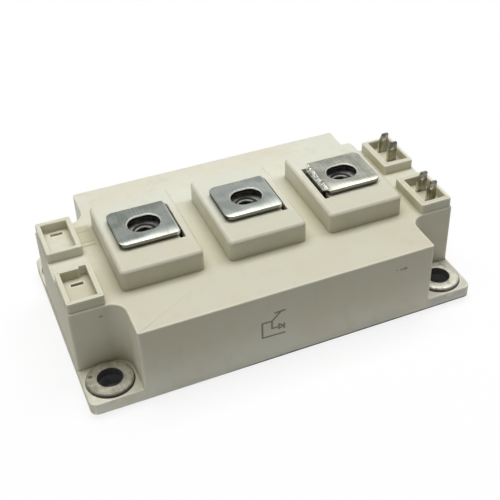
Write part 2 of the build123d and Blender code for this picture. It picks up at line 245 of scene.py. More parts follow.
class Sheet(Nodes):
    """The nodes of one material, with a principled shader at their end."""

    def __init__(self, name: str) -> None:
        """Start an empty material with its shader and output."""
        self.material = bpy.data.materials.new(name)
        self.material.use_nodes = True
        super().__init__(self.material.node_tree)
        self.shader = self.node("ShaderNodeBsdfPrincipled")
        self.output = self.node("ShaderNodeOutputMaterial", {}, {"Surface": self.shader.outputs[0]})

    def _axes(self, vector: bpy.types.NodeSocket) -> tuple[Level, Level, Level]:
        """Return the X, Y and Z of a vector."""
        parts = self.node("ShaderNodeSeparateXYZ", {}, {0: vector})
        return tuple(Level(self, parts.outputs[axis]) for axis in range(3))

    def place(self) -> tuple[Level, Level, Level]:
        """Return the X, Y and Z of the point on the object."""
        return self._axes(self.node("ShaderNodeTexCoord").outputs["Object"])

    def facing(self) -> tuple[Level, Level, Level]:
        """Return the X, Y and Z of the direction that the surface faces."""
        return self._axes(self.node("ShaderNodeNewGeometry").outputs["Normal"])

    def noise(self, grain: float | Point, detail: float = 2.0, shift: float = 0.0) -> Level:
        """Add a cloud pattern fixed to the object.

        Args:
            grain: Size of the patches, or their sizes along X, Y and Z.
            detail: How many finer layers it has.
            shift: Offset that gives another pattern of the same kind.

        Returns:
            A level around 0.5.
        """
        point = self.node("ShaderNodeTexCoord").outputs["Object"]
        sizes = grain if isinstance(grain, tuple) else (grain,) * 3
        inputs = {"Vector": point, "Scale": tuple(1 / size for size in sizes), "Location": (shift,) * 3}
        mapped = self.node("ShaderNodeMapping", {}, inputs)
        inputs = {"Vector": mapped.outputs[0], "Scale": 1.0, "Detail": detail}
        return Level(self, self.node("ShaderNodeTexNoise", {}, inputs).outputs[0])

    def line_noise(self, along: Level) -> Level:
        """Return an uneven pattern that varies with one level only."""
        inputs = {"W": along, "Scale": 1.0, "Detail": 2.0}
        return Level(self, self.node("ShaderNodeTexNoise", {"noise_dimensions": "1D"}, inputs).outputs[0])

    def blend(self, share: object, first: object, second: object) -> bpy.types.NodeSocket:
        """Mix two colours.

        Args:
            share: How much of the second colour shows.
            first: Colour at share 0.
            second: Colour at share 1.

        Returns:
            The mixed colour.
        """
        factor, colour_a, colour_b, colour_out = 0, 6, 7, 2
        inputs = {factor: share, colour_a: first, colour_b: second}
        return self.node("ShaderNodeMix", {"data_type": "RGBA"}, inputs).outputs[colour_out]

    def relief(self, height: Level, edge: float) -> bpy.types.NodeSocket:
        """Add a relief and soft edges.

        Args:
            height: The height of the relief over the surface.
            edge: The radius by which the edges look rounded.

        Returns:
            The normal with both.
        """
        rounded = self.node("ShaderNodeBevel", {"samples": SAMPLES}, {"Radius": edge}).outputs[0]
        inputs = {"Height": height, "Strength": 1.0, "Distance": 1.0, "Normal": rounded}
        return self.node("ShaderNodeBump", {}, inputs).outputs[0]

    def nook(self, reach: float, inside: bool = False) -> Level:
        """Return how open the surface is.

        Args:
            reach: How far around the point is looked.
            inside: Look into the material, to find outer edges in place of nooks.

        Returns:
            A level from 0 in a nook to 1 in the open.
        """
        settings = {"samples": SAMPLES, "inside": inside}
        made = self.node("ShaderNodeAmbientOcclusion", settings, {"Distance": reach})
        return Level(self, made.outputs["AO"])

    def finish(self, **inputs: object) -> bpy.types.Material:
        """Set the shader's sockets, with underscores for spaces, and return the material."""
        for name, value in inputs.items():
            self.feed(self.shader.inputs[name.replace("_", " ").title()], value)
        return self.material


@dataclass(frozen=True)
class MouldedPlastic:
    """Ivory moulded plastic with a fine grain, a few dirt specks, painted shade in its nooks and on its front
    walls, and painted highlights on its outer edges.
    """

    strokes: tuple[tuple[float, float, float, float], ...]
    marks: tuple[tuple[float, float, float, float, float], ...]
    seams: tuple[tuple[float, float, float], ...]
    clean: Colour = tone(226, 226, 210)
    warm: Colour = tone(225, 220, 201)
    aged: Colour = tone(206, 203, 178)
    # Painted shade in the nooks uses this tone; so do the dirt specks and the moulded lines.
    shade_and_grime_tone: Colour = tone(166, 158, 118)
    # Painted shade on the front walls uses this tone; so does the darker tan at the left end, on the pocket
    # rims and between the pockets.
    darker_tan_and_shade: Colour = tone(198, 194, 167)
    dusty: Colour = tone(188, 189, 180)
    shaded: Colour = tone(84, 82, 72)
    # Painted highlight along the outer edges.
    edge_highlight: Colour = tone(234, 231, 211)
    # Ink of the print and the marks, also the painted shadow line at the foot of the front wall.
    ink_and_shadow: Colour = tone(96, 94, 84)
    patch: float = 22 * MM
    mottle: float = 3.5 * MM
    speck: float = 0.9 * MM
    wave: float = 12 * MM
    wave_height: float = 0.05 * MM
    grain: float = 0.35 * MM
    grain_height: float = 0.006 * MM
    edge: float = 0.5 * MM
    soft: float = 0.1 * MM
    front: float = -30.7 * MM
    left_end: Pair = (-52 * MM, -53 * MM)
    front_shade_from: Pair = (10 * MM, -20 * MM)
    front_shade_top: float = 14 * MM
    lower: float = 1.0 * MM
    foot_shadow_from: Pair = (-25 * MM, -5 * MM)
    platform: float = 22.7 * MM
    block_top: float = 28.7 * MM
    pocket_from: Pair = (42 * MM, 44 * MM)
    alley_x: Pair = (44 * MM, 43 * MM)
    alley_y: Pair = (16 * MM, 14 * MM)
    dust_from: Pair = (38 * MM, 42 * MM)
    dust_top: Pair = (6 * MM, 5 * MM)
    nook_reach: float = 6 * MM
    seam_span: Pair = (-43.6 * MM, -39.3 * MM)
    seam_level: Pair = (22.0 * MM, 22.4 * MM)
    nut_places: tuple[float, ...] = (-28 * MM, 0.0, 28 * MM)
    pit: Pair = (5.4 * MM, 4.2 * MM)
    stroke_half: float = 0.25 * MM

    def material(self) -> bpy.types.Material:
        """Return the finish as a material."""
        sheet = Sheet("ivory_plastic")
        mottle = sheet.noise(self.mottle, 4.0, 3.1)
        base = self._ageing(sheet, mottle)
        # Painted shade in the nooks that ambient occlusion finds.
        base = sheet.blend(self._nook_shade(sheet), base, self.shade_and_grime_tone)
        base = sheet.blend(self._dust(sheet), base, self.dusty)
        base = sheet.blend(self._seams(sheet), base, self.shade_and_grime_tone)
        # Painted highlight along the outer edges, found by looking into the material.
        highlighted_edges = (1 - sheet.nook(self.edge * 1.5, inside=True)).ease(0.03, 0.3)
        base = sheet.blend(highlighted_edges * 0.9, base, self.edge_highlight)
        specks = sheet.noise(self.speck, 1.0, 7.7).ease(0.78, 0.84)
        base = sheet.blend(specks * 0.35, base, self.shade_and_grime_tone)
        base = sheet.blend(self._pits(sheet), base, self.shaded)
        # Painted shadow line along the foot of the front wall.
        base = sheet.blend(self._foot_shadow(sheet), base, self.ink_and_shadow)
        base = sheet.blend(self._marks(sheet, mottle), base, self.ink_and_shadow)
        base = sheet.blend(self._print(sheet) * 0.85, base, self.ink_and_shadow)
        grain = sheet.noise(self.grain, 2.0, 1.3)
        waves = sheet.noise(self.wave, 1.0, 5.0)
        normal = sheet.relief(grain * self.grain_height + waves * self.wave_height, self.edge)
        return sheet.finish(base_color=base, roughness=0.42 + mottle * 0.16, normal=normal)

    def _ageing(self, sheet: Sheet, mottle: Level) -> bpy.types.NodeSocket:
        """Return the plastic's colour with mottled patches, painted shade that darkens the front walls (least
        near their foot), and a darker tan at the left end, on the pocket rims and on the strips between the
        pockets.

        Args:
            sheet: The material's nodes.
            mottle: A fine cloud pattern.

        Returns:
            The colour before the painted nook shade, dirt and marks.
        """
        x, y, z = sheet.place()
        patches = sheet.noise(self.patch, 3.0)
        base = sheet.blend(patches.ease(0.4, 0.68), self.clean, self.warm)
        base = sheet.blend(mottle.ease(0.52, 0.75) * 0.35, base, self.aged)
        # Painted shade: the front walls are darker towards the front, and less so near their foot.
        front_shade = y.ease(*self.front_shade_from) * z.ease(0.0, self.front_shade_top)
        base = sheet.blend(front_shade * 0.6, base, self.darker_tan_and_shade)
        _, _, face_z = sheet.facing()
        raised = z.ease(self.platform + self.soft, self.platform + 5 * self.soft)
        rims = abs(x).ease(*self.pocket_from) * raised * (face_z.ease(0.5, 0.9) * 0.35 + 0.15)
        alleys = z.near(self.platform, 2 * self.soft, 3 * self.soft)
        alleys = alleys * abs(x).ease(*self.alley_x) * abs(y).ease(*self.alley_y) * 0.4
        darker_places = most_of((x.ease(*self.left_end), rims, alleys))
        return sheet.blend(darker_places, base, self.darker_tan_and_shade)

    def _nook_shade(self, sheet: Sheet) -> Level:
        """Return how much painted shade lies in the nooks, off the front wall and the tops of the blocks.

        Args:
            sheet: The material's nodes.

        Returns:
            A level that is 0 where no shade is painted.
        """
        _, y, z = sheet.place()
        closed = (1 - sheet.nook(self.nook_reach)).ease(0.15, 0.85)
        behind = y.ease(self.front + self.soft, self.front + 6 * self.soft)
        below = z.ease(self.block_top - 0.5 * self.soft, self.block_top - 2.5 * self.soft)
        return closed * behind * below * 0.62

    def _dust(self, sheet: Sheet) -> Level:
        """Return how much dust lies on the flange at the right end."""
        x, _, z = sheet.place()
        return x.ease(*self.dust_from) * z.ease(*self.dust_top) * 0.6

    def _pits(self, sheet: Sheet) -> Level:
        """Return where the plastic lies in shadow under the openings of the terminals."""
        x, y, _ = sheet.place()
        half_x, half_y = self.pit
        along = most_of(x.near(centre, half_x, self.soft) for centre in self.nut_places)
        return along * y.near(0.0, half_y, self.soft)

    def _foot_shadow(self, sheet: Sheet) -> Level:
        """Return where a painted shadow line runs along the foot of the front wall."""
        x, y, z = sheet.place()
        low = z.ease(self.lower + 5 * self.soft, self.lower + 3 * self.soft)
        return low * x.ease(*self.foot_shadow_from) * y.ease(self.front + 6 * self.soft, self.front + 3 * self.soft)

    def _seams(self, sheet: Sheet) -> Level:
        """Return where the faint moulded lines run beside the first block.

        Args:
            sheet: The material's nodes.

        Returns:
            A level that is 0 away from the lines.
        """
        x, y, z = sheet.place()
        low, high = self.seam_span
        fade = 5 * self.soft
        span = x.ease(low, low + fade) * x.ease(high, high - fade) * z.ease(*self.seam_level)
        return span * most_of(y.near(middle, half - self.soft, 3 * self.soft) * share
                              for middle, half, share in self.seams)

    def _marks(self, sheet: Sheet, mottle: Level) -> Level:
        """Return where the small dark marks of handling lie.

        Args:
            sheet: The material's nodes.
            mottle: A cloud pattern that makes their edges uneven.

        Returns:
            A level that is 1 in the middle of a mark.
        """
        x, y, z = sheet.place()
        shown = []
        for mark_x, mark_y, mark_z, size, share in self.marks:
            gap = distance((x - mark_x) * 0.6, y - mark_y, z - mark_z) + mottle * size
            shown.append(gap.ease(size * 1.6, size * 0.5) * share)
        return most_of(shown)

    def _print(self, sheet: Sheet) -> Level:
        """Return where the printed strokes lie on the front wall.

        Args:
            sheet: The material's nodes.

        Returns:
            A level that is 1 on a stroke.
        """
        x, y, z = sheet.place()
        gaps = []
        for x_from, z_from, x_to, z_to in self.strokes:
            length = math.hypot(x_to - x_from, z_to - z_from)
            unit_x, unit_z = (x_to - x_from) / length, (z_to - z_from) / length
            run = ((x - x_from) * unit_x + (z - z_from) * unit_z).most(0.0).least(length)
            gaps.append(distance(x - x_from - run * unit_x, z - z_from - run * unit_z))
        on_wall = y.ease(self.front + self.soft, self.front + 0.5 * self.soft)
        return least_of(gaps).ease(self.stroke_half * 1.35, self.stroke_half * 0.65) * on_wall


@dataclass(frozen=True)
class BrushedNickel:
    """Satin nickel plating of a main terminal, with a rolled front edge and a bend at its side, painted
    highlights on the rolled edge, rounded edges and fold, and painted shade on the upright faces and inside
    the opening.
    """

    centre_x: float
    side: Side
    bright: Colour
    dull: Colour
    # Painted highlight of the rolled front edge, the rounded edges, the fold and the glints of a rough bend.
    shiny: Colour = tone(246, 246, 240)
    # Painted shade of the lower part of the upright faces, the side faces, the bend's far side and the
    # creases of a rough bend.
    dark: Colour = tone(66, 64, 52)
    # Painted shade inside the opening.
    shade_black: Colour = tone(34, 33, 29)
    # Painted highlight on the upper part of the upright front faces.
    painted_light: Colour = tone(150, 148, 134)
    top: float = 30.4 * MM
    front: float = -7.25 * MM
    fold: float = 8.3 * MM
    bend: float = 1.6 * MM
    # Painted highlight along the edge of a right-hand fold, and painted shade beyond it.
    fold_highlight: Pair = (7.0 * MM, 7.2 * MM)
    fold_shade: Pair = (7.35 * MM, 7.5 * MM)
    roll_highlight_from: Pair = (-6 * MM, 6 * MM)
    roll_from: float = -4 * MM
    roll: Pair = (2 * MM, 4.4 * MM)
    roll_depth: float = 0.33 * MM
    opening: Pair = (5 * MM, 4 * MM)
    soft: float = 0.1 * MM
    edge: float = 0.15 * MM
    # How far below the top the painted shade of the upright faces starts and is full.
    shade_from: Pair = (0.75 * MM, 0.98 * MM)
    streak: Point = (0.22 * MM, 11 * MM, 4 * MM)
    streak_height: float = 0.003 * MM
    cloud: float = 5 * MM
    cloud_height: float = 0.03 * MM
    crease: Point = (0.9 * MM, 0.6 * MM, 1.2 * MM)
    crease_height: float = 0.3 * MM
    fleck: Point = (0.6 * MM, 0.4 * MM, 0.6 * MM)
    fleck_height: float = 0.1 * MM

    def material(self) -> bpy.types.Material:
        """Return the finish as a material."""
        sheet = Sheet("nickel_plate_%d" % round(self.centre_x / MM))
        x, y, z = sheet.place()
        _, face_y, face_z = sheet.facing()
        reach = (x - self.centre_x) * self.side.value
        streaks = sheet.noise(self.streak, 3.0)
        clouds = sheet.noise(self.cloud, 3.0, 2.0)
        brushed = streaks.ease(0.35, 0.65)
        base = sheet.blend(brushed * 0.34 + clouds.ease(0.35, 0.65) * 0.62, self.bright, self.dull)
        narrow, wide = self.roll
        width = reach.ease(self.roll_from, self.fold) * (wide - narrow) + narrow
        roll = ((self.front + width - y) / width).most(0.0).least(1.0)
        # Painted highlight along the rolled front edge, stronger towards the fold.
        roll_highlight = reach.ease(*self.roll_highlight_from) * 0.2 + 0.42 - brushed * 0.25
        base = sheet.blend(roll.ease(0.15, 1.0) * roll_highlight, base, self.shiny)
        on_bend = reach.ease(self.fold - 1.4 * self.bend, self.fold - 0.8 * self.bend)
        # Painted highlight on the rounded edges.
        rim = face_z.ease(0.95, 0.88) * face_z.ease(0.55, 0.7)
        base = sheet.blend(rim, base, self.shiny)
        height = streaks * self.streak_height + clouds * self.cloud_height - roll * roll * self.roll_depth
        rough = 0.24 + streaks * 0.2 + clouds * 0.1 + roll * 0.1
        if self.side is Side.LEFT:
            base, height = self._crumpled(sheet, on_bend, base, height)
            bend_shade = face_z.ease(0.6, 0.35)
        else:
            # Painted highlight along the fold's edge, and painted shade on its far side.
            base = sheet.blend(reach.ease(*self.fold_highlight) * 0.8, base, self.shiny)
            bend_shade = reach.ease(*self.fold_shade)
        half_x, half_y = self.opening
        inside = reach.near(0.0, half_x, self.soft) * y.near(0.0, half_y, self.soft)
        below_from, below_to = self.shade_from
        # Painted light on the upright faces: highlight on the upper part of the front faces, shade lower down
        # and on the side faces, and shade inside the opening.
        low = z.ease(self.top - below_from, self.top - below_to).most(face_y.ease(-0.8, -0.6))
        edge = sheet.blend(inside, sheet.blend(low, self.painted_light, self.dark), self.shade_black)
        upright = face_z.ease(0.7, 0.45) * (1 - on_bend) + bend_shade * on_bend
        base = sheet.blend(upright, base, edge)
        # Less metal on the painted highlight of the rounded edges and the painted shade inside the opening.
        metal = 1 - (inside * upright).most(rim * 0.6)
        normal = sheet.relief(height, self.edge)
        return sheet.finish(base_color=base, roughness=rough, metallic=metal, normal=normal)

    def _crumpled(self, sheet: Sheet, on_bend: Level, base: bpy.types.NodeSocket,
                  height: Level) -> tuple[bpy.types.NodeSocket, Level]:
        """Add the creases of a rough bend, with painted shade along them and painted glints on it.

        Args:
            sheet: The material's nodes.
            on_bend: Where the bend lies.
            base: The colour so far.
            height: The relief so far.

        Returns:
            The colour and the relief with the bend.
        """
        creases = sheet.noise(self.crease, 2.0, 4.0)
        glint_flecks = sheet.noise(self.fleck, 1.0, 8.0).ease(0.5, 0.6)
        # Painted shade in the creases and painted glints on the bend.
        grey = sheet.blend(creases.ease(0.45, 0.65) * 0.7, self.bright, self.dark)
        base = sheet.blend(on_bend, base, sheet.blend(glint_flecks, grey, self.shiny))
        return base, height + on_bend * (creases * self.crease_height + glint_flecks * self.fleck_height)


@dataclass(frozen=True)
class WornSteel:
    """Plated steel of the bushings, with turning marks, scratches and dark spots, painted shade on the
    front-left ring and a painted shadow around each ring's side and foot.
    """

    name: str
    centres: tuple[Pair, ...]
    light: Colour = tone(238, 235, 220)
    # Painted shade of the front-left ring.
    dull: Colour = tone(204, 201, 184)
    dark: Colour = tone(88, 84, 68)
    # Painted shadow where a ring meets the flange.
    shade_black: Colour = tone(40, 38, 29)
    hole: Colour = tone(102, 99, 98)
    bore: Pair = (3.32 * MM, 3.22 * MM)
    middle: float = 4.5 * MM
    rim: float = 5.75 * MM
    # Where the painted shadow at a ring's foot lies.
    shadow_line: Pair = (5.87 * MM, 5.94 * MM)
    spot: Pair = (-50.9 * MM, -22.0 * MM)
    spot_radius: Pair = (0.8 * MM, 0.3 * MM)
    ends: Pair = (20 * MM, 30 * MM)
    front_from: float = 10 * MM
    patch: float = 2.2 * MM
    patch_height: float = 0.06 * MM
    ring_gap: float = 0.16 * MM
    ring_height: float = 0.01 * MM
    scratch: Point = (0.9 * MM, 2.6 * MM, 4 * MM)
    scratch_depth: float = 0.02 * MM
    crown_depth: float = 0.1 * MM
    edge: float = 0.25 * MM

    def material(self) -> bpy.types.Material:
        """Return the finish as a material."""
        sheet = Sheet(self.name)
        x, y, _ = sheet.place()
        _, face_y, _ = sheet.facing()
        radius = least_of(distance(x - centre_x, y - centre_y) for centre_x, centre_y in self.centres)
        patches = sheet.noise(self.patch, 4.0)
        rings = sheet.line_noise(radius * (1 / self.ring_gap) + patches * 5.0)
        scratches = sheet.noise(self.scratch, 4.0, 9.3).ease(0.52, 0.66)
        inner, outer = self.ends
        right = x.ease(inner, outer)
        # Painted shade: the front-left ring is duller, as it lies in the shade of its recess.
        painted_light = x.ease(-inner, -outer) * y.ease(self.front_from, 0.0)
        base = sheet.blend(painted_light, self.light, self.dull)
        base = sheet.blend(patches.ease(0.42, 0.66) * (0.25 + painted_light * 0.1), base, self.dark)
        base = sheet.blend(rings.ease(0.42, 0.66) * (0.28 + painted_light * 0.22), base, self.dark)
        base = sheet.blend(scratches * 0.3, base, self.dark)
        stain = distance(x - self.spot[0], y - self.spot[1]).ease(*self.spot_radius)
        base = sheet.blend(stain * 0.8, base, self.dark)
        in_bore = radius.ease(*self.bore)
        base = sheet.blend(in_bore, base, self.hole)
        # Painted shade on the outer side of each ring.
        base = sheet.blend(radius.ease(self.rim, self.rim + 0.15 * MM) * 0.45, base, self.dark)
        # Painted shadow where each ring meets the flange, heavier on the front side.
        shadow_outline = radius.ease(*self.shadow_line) * (face_y.ease(0.0, -0.7) * 0.45 + 0.3)
        base = sheet.blend(shadow_outline, base, self.shade_black)
        rough = 0.3 + patches * 0.2 + painted_light * 0.12
        crown = (radius - self.middle) / (self.rim - self.middle)
        height = rings * self.ring_height + patches * self.patch_height
        height = height - scratches * self.scratch_depth - crown * crown * right * self.crown_depth
        normal = sheet.relief(height, self.edge)
        metal = 1 - most_of((painted_light * 0.5, in_bore * 0.85, right * 0.45))
        return sheet.finish(base_color=base, roughness=rough, metallic=metal, normal=normal)


@dataclass(frozen=True)
class PlainMetal:
    """Simple metal with a cloudy colour and a fine grain."""

    name: str
    light: Colour
    dark: Colour
    roughness: float = 0.4
    metal: float = 1.0
    cloud: float = 3 * MM
    grain: Point = (0.4 * MM, 0.4 * MM, 3 * MM)
    grain_height: float = 0.006 * MM
    edge: float = 0.08 * MM

    def material(self) -> bpy.types.Material:
        """Return the finish as a material."""
        sheet = Sheet(self.name)
        clouds = sheet.noise(self.cloud, 3.0)
        lines = sheet.noise(self.grain, 2.0, 2.0)
        base = sheet.blend((clouds * 0.6 + lines * 0.4).ease(0.35, 0.7), self.light, self.dark)
        normal = sheet.relief(lines * self.grain_height, self.edge)
        rough = self.roughness + clouds * 0.15
        return sheet.finish(base_color=base, roughness=rough, metallic=self.metal, normal=normal)


@dataclass(frozen=True)
class TinnedBlade:
    """Dull tin of a control tab, streaked along the blade, with painted highlights on its narrow sides."""

    light: Colour = tone(204, 202, 186)
    streak: Colour = tone(124, 121, 104)
    # Painted highlight of the narrow sides.
    side: Colour = tone(226, 222, 202)
    tip: Colour = tone(92, 94, 98)
    lining: Colour = tone(240, 238, 226)
    tip_from: Pair = (27.8 * MM, 28.4 * MM)
    side_highlight_top: Pair = (27 * MM, 25 * MM)
    eye: Pair = (49.3 * MM, 26.7 * MM)
    eye_radius: Pair = (0.75 * MM, 0.65 * MM)
    cloud: float = 3 * MM
    line: Point = (0.7 * MM, 0.7 * MM, 5 * MM)
    line_height: float = 0.02 * MM
    edge: float = 0.08 * MM

    def material(self) -> bpy.types.Material:
        """Return the finish as a material."""
        sheet = Sheet("tinned_tab")
        x, _, z = sheet.place()
        face_x, face_y, _ = sheet.facing()
        clouds = sheet.noise(self.cloud, 3.0)
        lines = sheet.noise(self.line, 2.0, 2.0)
        base = sheet.blend((clouds * 0.5 + lines * 0.5).ease(0.36, 0.64), self.light, self.streak)
        base = sheet.blend(z.ease(*self.tip_from) * 0.7, base, self.tip)
        # Painted highlight on the narrow sides, below the top of the blade.
        narrow = abs(face_x).ease(0.92, 0.98) * z.ease(*self.side_highlight_top)
        base = sheet.blend(narrow, base, self.side)
        in_eye = distance(x - self.eye[0], z - self.eye[1]).ease(*self.eye_radius)
        in_eye = in_eye * abs(face_y).ease(0.8, 0.5)
        base = sheet.blend(in_eye, base, self.lining)
        normal = sheet.relief(lines * self.line_height, self.edge)
        metal = 1 - narrow.most(in_eye) * 0.7
        return sheet.finish(base_color=base, roughness=0.4 + clouds * 0.15, metallic=metal, normal=normal)


@dataclass(frozen=True)
class NutSteel:
    """Dull zinc plating of a nut, with painted shade over the countersink and bore and a painted highlight on
    the far flank of the thread.
    """

    centres: tuple[float, ...]
    face: Colour = tone(188, 186, 186)
    # Dark of the cloudy plating, also the painted shade over the countersink and bore.
    dark: Colour = tone(44, 44, 41)
    # Painted highlight on the far flank of the thread.
    painted_light: Colour = tone(236, 234, 226)
    ring: Pair = (3.22 * MM, 3.1 * MM)
    flank: Pair = (3.2 * MM, 3.05 * MM)
    sink_bottom: Pair = (27.35 * MM, 27.25 * MM)
    lit_bottom: Pair = (26.4 * MM, 26.6 * MM)
    lit_from: Pair = (0.7 * MM, 2 * MM)
    cloud: float = 2 * MM
    cloud_height: float = 0.04 * MM
    edge: float = 0.1 * MM

    def material(self) -> bpy.types.Material:
        """Return the finish as a material."""
        sheet = Sheet("nut_steel")
        x, y, z = sheet.place()
        radius = least_of(distance(x - centre, y) for centre in self.centres)
        clouds = sheet.noise(self.cloud, 3.0)
        base = sheet.blend(clouds.ease(0.35, 0.7) * 0.6, self.face, self.dark)
        # Painted shade over the countersink and bore.
        base = sheet.blend(radius.ease(*self.ring) * 0.9, base, self.dark)
        # Painted highlight on the far flank of the thread, just below the countersink.
        lit = z.ease(*self.sink_bottom) * z.ease(*self.lit_bottom) * y.ease(*self.lit_from)
        base = sheet.blend(lit * radius.ease(*self.flank), base, self.painted_light)
        normal = sheet.relief(clouds * self.cloud_height, self.edge)
        return sheet.finish(base_color=base, roughness=0.42 + clouds * 0.15, metallic=0.3, normal=normal)


@dataclass(frozen=True)
class MattLayer:
    """Matt surface without metal, such as ceramic."""

    name: str
    light: Colour
    dark: Colour
    roughness: float = 0.6
    alpha: float = 1.0
    cloud: float = 4 * MM

    def material(self) -> bpy.types.Material:
        """Return the finish as a material."""
        sheet = Sheet(self.name)
        clouds = sheet.noise(self.cloud, 3.0)
        base = sheet.blend(clouds.ease(0.35, 0.7), self.light, self.dark)
        return sheet.finish(base_color=base, roughness=self.roughness, alpha=self.alpha)


def pick(thing: bpy.types.Object) -> None:
    """Select one object alone and make it active."""
    bpy.ops.object.select_all(action="DESELECT")
    thing.select_set(True)
    bpy.context.view_layer.objects.active = thing


def merged_copy(node: str, name: str) -> bpy.types.Object:
    """Copy a CAD node and join its loose triangles.

    Args:
        node: Name of the node.
        name: Name of the copy.

    Returns:
        The copy, a closed mesh without materials.
    """
    made = bpy.data.objects.new(name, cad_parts[node].data.copy())
    bpy.context.scene.collection.objects.link(made)
    made.data.materials.clear()
    pick(made)
    if made.data.has_custom_normals:
        bpy.ops.mesh.customdata_custom_splitnormals_clear()
    bpy.ops.object.mode_set(mode="EDIT")
    bpy.ops.mesh.select_all(action="SELECT")
    bpy.ops.mesh.remove_doubles(threshold=0.002 * MM)
    bpy.ops.mesh.dissolve_limited(angle_limit=math.radians(0.3))
    bpy.ops.object.mode_set(mode="OBJECT")
    return made


def combine(target: bpy.types.Object, other: bpy.types.Object, joining: Joining) -> None:
    """Join another solid to a solid or cut it away, and delete the other.

    Args:
        target: The solid that stays.
        other: The solid that is used up.
        joining: Whether it is added or taken away.
    """
    pick(target)
    bpy.ops.object.modifier_add(type="BOOLEAN")
    modifier = target.modifiers[-1]
    modifier.operation = joining.value
    modifier.solver = "EXACT"
    modifier.object = other
    bpy.ops.object.modifier_apply(modifier=modifier.name)
    pick(other)
    bpy.ops.object.delete()


def dress(names: list[str], material: bpy.types.Material) -> None:
    """Give CAD nodes one material.

    Args:
        names: Names of the nodes.
        material: The material.
    """
    for name in names:
        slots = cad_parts[name].data.materials
        slots.clear()
        slots.append(material)


@dataclass
class Moulding:
    """Housing, wings and raised blocks, joined to the one moulding of the real module."""

    pieces: tuple[str, ...] = (
        "housing", "wing_left", "wing_right", "block_terminal_1", "block_terminal_2", "block_terminal_3",
    )
    edge_round: float = 0.2 * MM
    round_segments: int = 3
    sharp_deg: float = 40
    smooth_deg: float = 35
    # Edges count as outer beyond these X, Y or Z, but the pocket with the tight notch stays sharp.
    outside: Point = (52.9 * MM, 30.6 * MM, 20.6 * MM)
    foot: float = 1.5 * MM
    notched_x: float = -42 * MM
    notched_y: Pair = (-17.5 * MM, 0.0)
    strokes_mm: tuple[tuple[float, float, float, float], ...] = (
        (-8.8, 14.0, -8.8, 9.2), (-8.8, 9.2, -2.8, 9.0), (-8.8, 14.0, -6.2, 13.95),
        (-6.2, 13.95, -6.2, 11.5), (-6.2, 11.5, -4.3, 11.45), (-6.2, 13.95, -3.9, 16.2),
        (-5.3, 16.35, -2.7, 16.5), (-4.3, 12.3, -4.3, 10.8), (-4.3, 12.3, -3.1, 11.4),
        (-4.3, 10.8, -3.1, 11.4), (-2.9, 12.0, -2.9, 10.6),
    )
    marks_mm: tuple[tuple[float, float, float, float, float], ...] = (
        (31.3, -30.7, 18.0, 0.6, 1.0), (30.2, -30.7, 18.0, 0.45, 0.9), (29.0, -30.7, 18.1, 0.35, 0.7),
        (-45.3, -17.9, 19.8, 0.55, 0.6),
    )
    seams_mm: tuple[tuple[float, float, float], ...] = (
        (14.2, 1.2, 0.3), (12.9, 0.2, 0.7), (10.6, 2.1, 0.22), (8.2, 0.25, 0.55), (6.5, 0.3, 0.6),
    )

    def build(self) -> None:
        """Join copies of the nodes without seams, round the edges and dress the moulding."""
        body = merged_copy(self.pieces[0], "moulding")
        for number, node in enumerate(self.pieces[1:]):
            combine(body, merged_copy(node, "moulding_part_%d" % number), Joining.ADD)
        self._clean(body)
        self._round(body)
        strokes = tuple(tuple(value * MM for value in stroke) for stroke in self.strokes_mm)
        marks = tuple((*(value * MM for value in mark[:4]), mark[4]) for mark in self.marks_mm)
        seams = tuple((middle * MM, half * MM, share) for middle, half, share in self.seams_mm)
        body.data.materials.append(MouldedPlastic(strokes, marks, seams).material())
        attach(body, "root")
        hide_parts(*self.pieces)
        LOG.info("moulding: %d nodes joined, %d faces", len(self.pieces), len(body.data.polygons))

    def _clean(self, body: bpy.types.Object) -> None:
        """Merge what the joining left double."""
        pick(body)
        bpy.ops.object.mode_set(mode="EDIT")
        bpy.ops.mesh.select_all(action="SELECT")
        bpy.ops.mesh.remove_doubles(threshold=0.004 * MM)
        bpy.ops.mesh.dissolve_limited(angle_limit=math.radians(0.5))
        bpy.ops.mesh.normals_make_consistent(inside=False)
        bpy.ops.object.mode_set(mode="OBJECT")

    def _round(self, body: bpy.types.Object) -> None:
        """Round the marked edges as a mould leaves them."""
        self._mark_edges(body)
        pick(body)
        bpy.ops.object.modifier_add(type="BEVEL")
        modifier = body.modifiers[-1]
        modifier.width = self.edge_round
        modifier.segments = self.round_segments
        modifier.limit_method = "WEIGHT"
        modifier.use_clamp_overlap = False
        bpy.ops.object.modifier_apply(modifier=modifier.name)
        bpy.ops.object.shade_smooth_by_angle(angle=math.radians(self.smooth_deg))

    def _mark_edges(self, body: bpy.types.Object) -> None:
        """Mark the sharp edges that get a round."""
        shape = bmesh.new()
        shape.from_mesh(body.data)
        weights = shape.edges.layers.float.new("bevel_weight_edge")
        for edge in shape.edges:
            if edge.is_manifold and edge.is_convex and edge.calc_face_angle() > math.radians(self.sharp_deg):
                edge[weights] = float(self._rounded((edge.verts[0].co + edge.verts[1].co) / 2))
        shape.to_mesh(body.data)
        shape.free()

    def _rounded(self, spot: Vector) -> bool:
        """Tell whether a sharp edge gets a round.

        Args:
            spot: The middle of the edge.

        Returns:
            True for an outer edge, where the mesh has room for a round.
        """
        out_x, out_y, out_z = self.outside
        low_y, high_y = self.notched_y
        raised = spot.z > out_z
        notched = raised and spot.x < self.notched_x and low_y < spot.y < high_y
        outer = raised or abs(spot.x) > out_x or abs(spot.y) > out_y
        return outer and spot.z > self.foot and not notched


